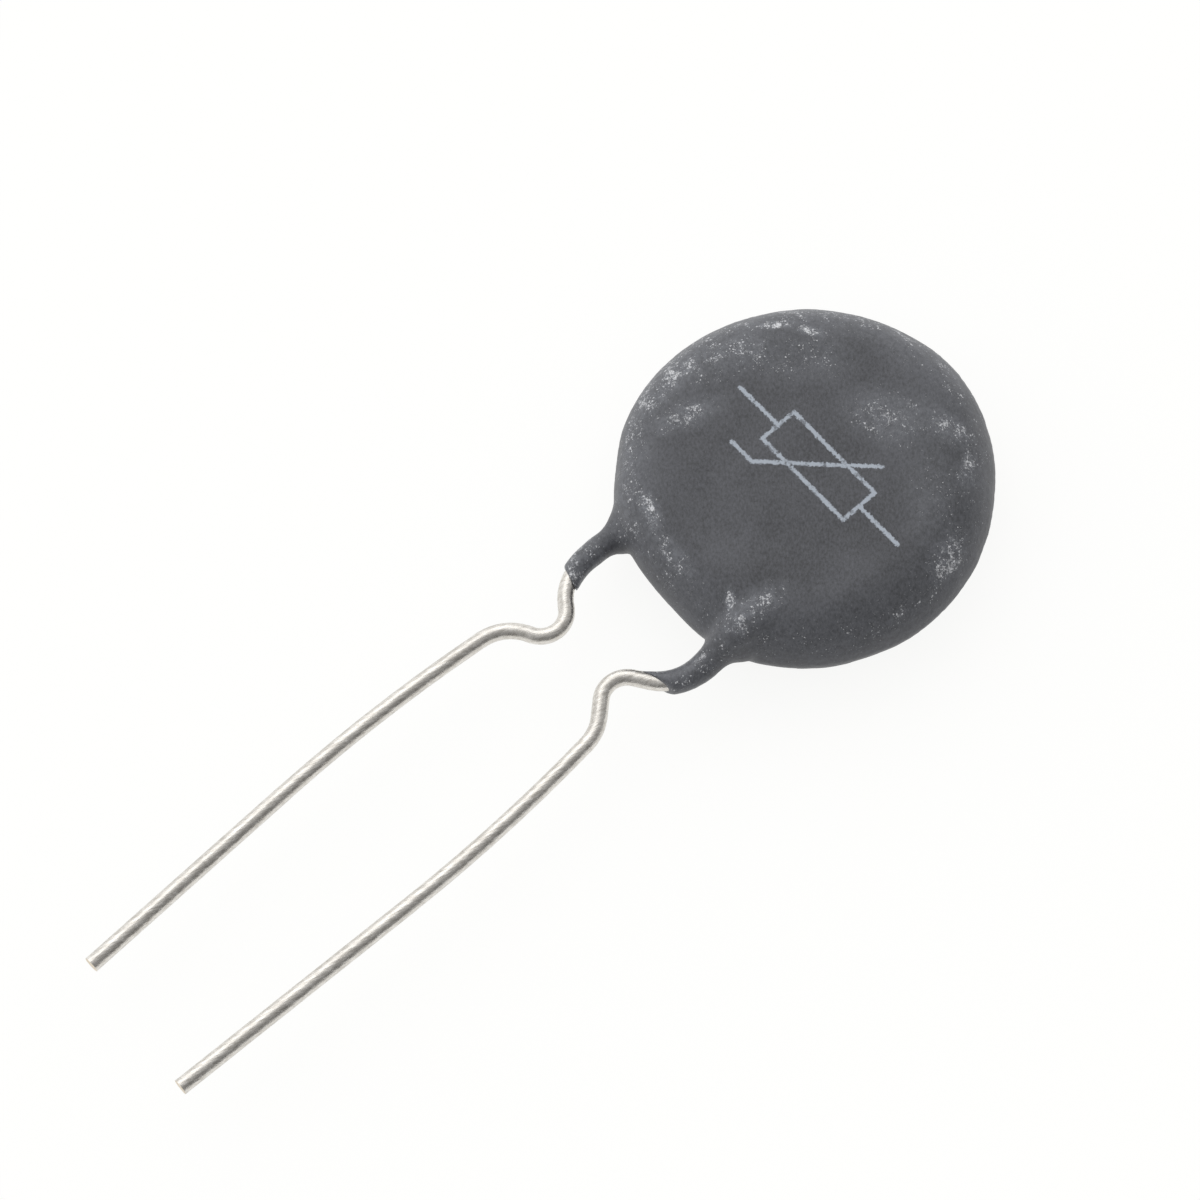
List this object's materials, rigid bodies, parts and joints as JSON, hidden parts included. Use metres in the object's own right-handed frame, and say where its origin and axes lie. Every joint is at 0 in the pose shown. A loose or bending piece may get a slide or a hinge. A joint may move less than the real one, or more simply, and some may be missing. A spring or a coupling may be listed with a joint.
{
  "type": "ntc disc thermistor",
  "caption": "Radial-leaded disc thermistor: a dipped ceramic disc with two tinned wire leads, each with a stand-off kink below its coated leg.",
  "frame": {"origin": "centre of the coated disc, on the surface that its back face rests on", "axes": "+Z out of the front face, -Y along the leads towards their tips, +X to the right with the leads pointing down"},
  "size_m": [0.017, 0.0472, 0.005],
  "materials": {
    "coating": "matte dipped resin, lightly scuffed",
    "ceramic": "sintered, matte",
    "silver": "fired silver, satin",
    "solder": "bright solder",
    "tinned_wire": "tinned copper-clad wire, slightly dull"
  },
  "bodies": {
    "root": {"coating": "coating", "ceramic_disc": "ceramic", "front_electrode": "silver", "back_electrode": "silver", "front_solder": "solder", "back_solder": "solder", "front_lead": "tinned_wire", "back_lead": "tinned_wire"}
  },
  "joints": []
}
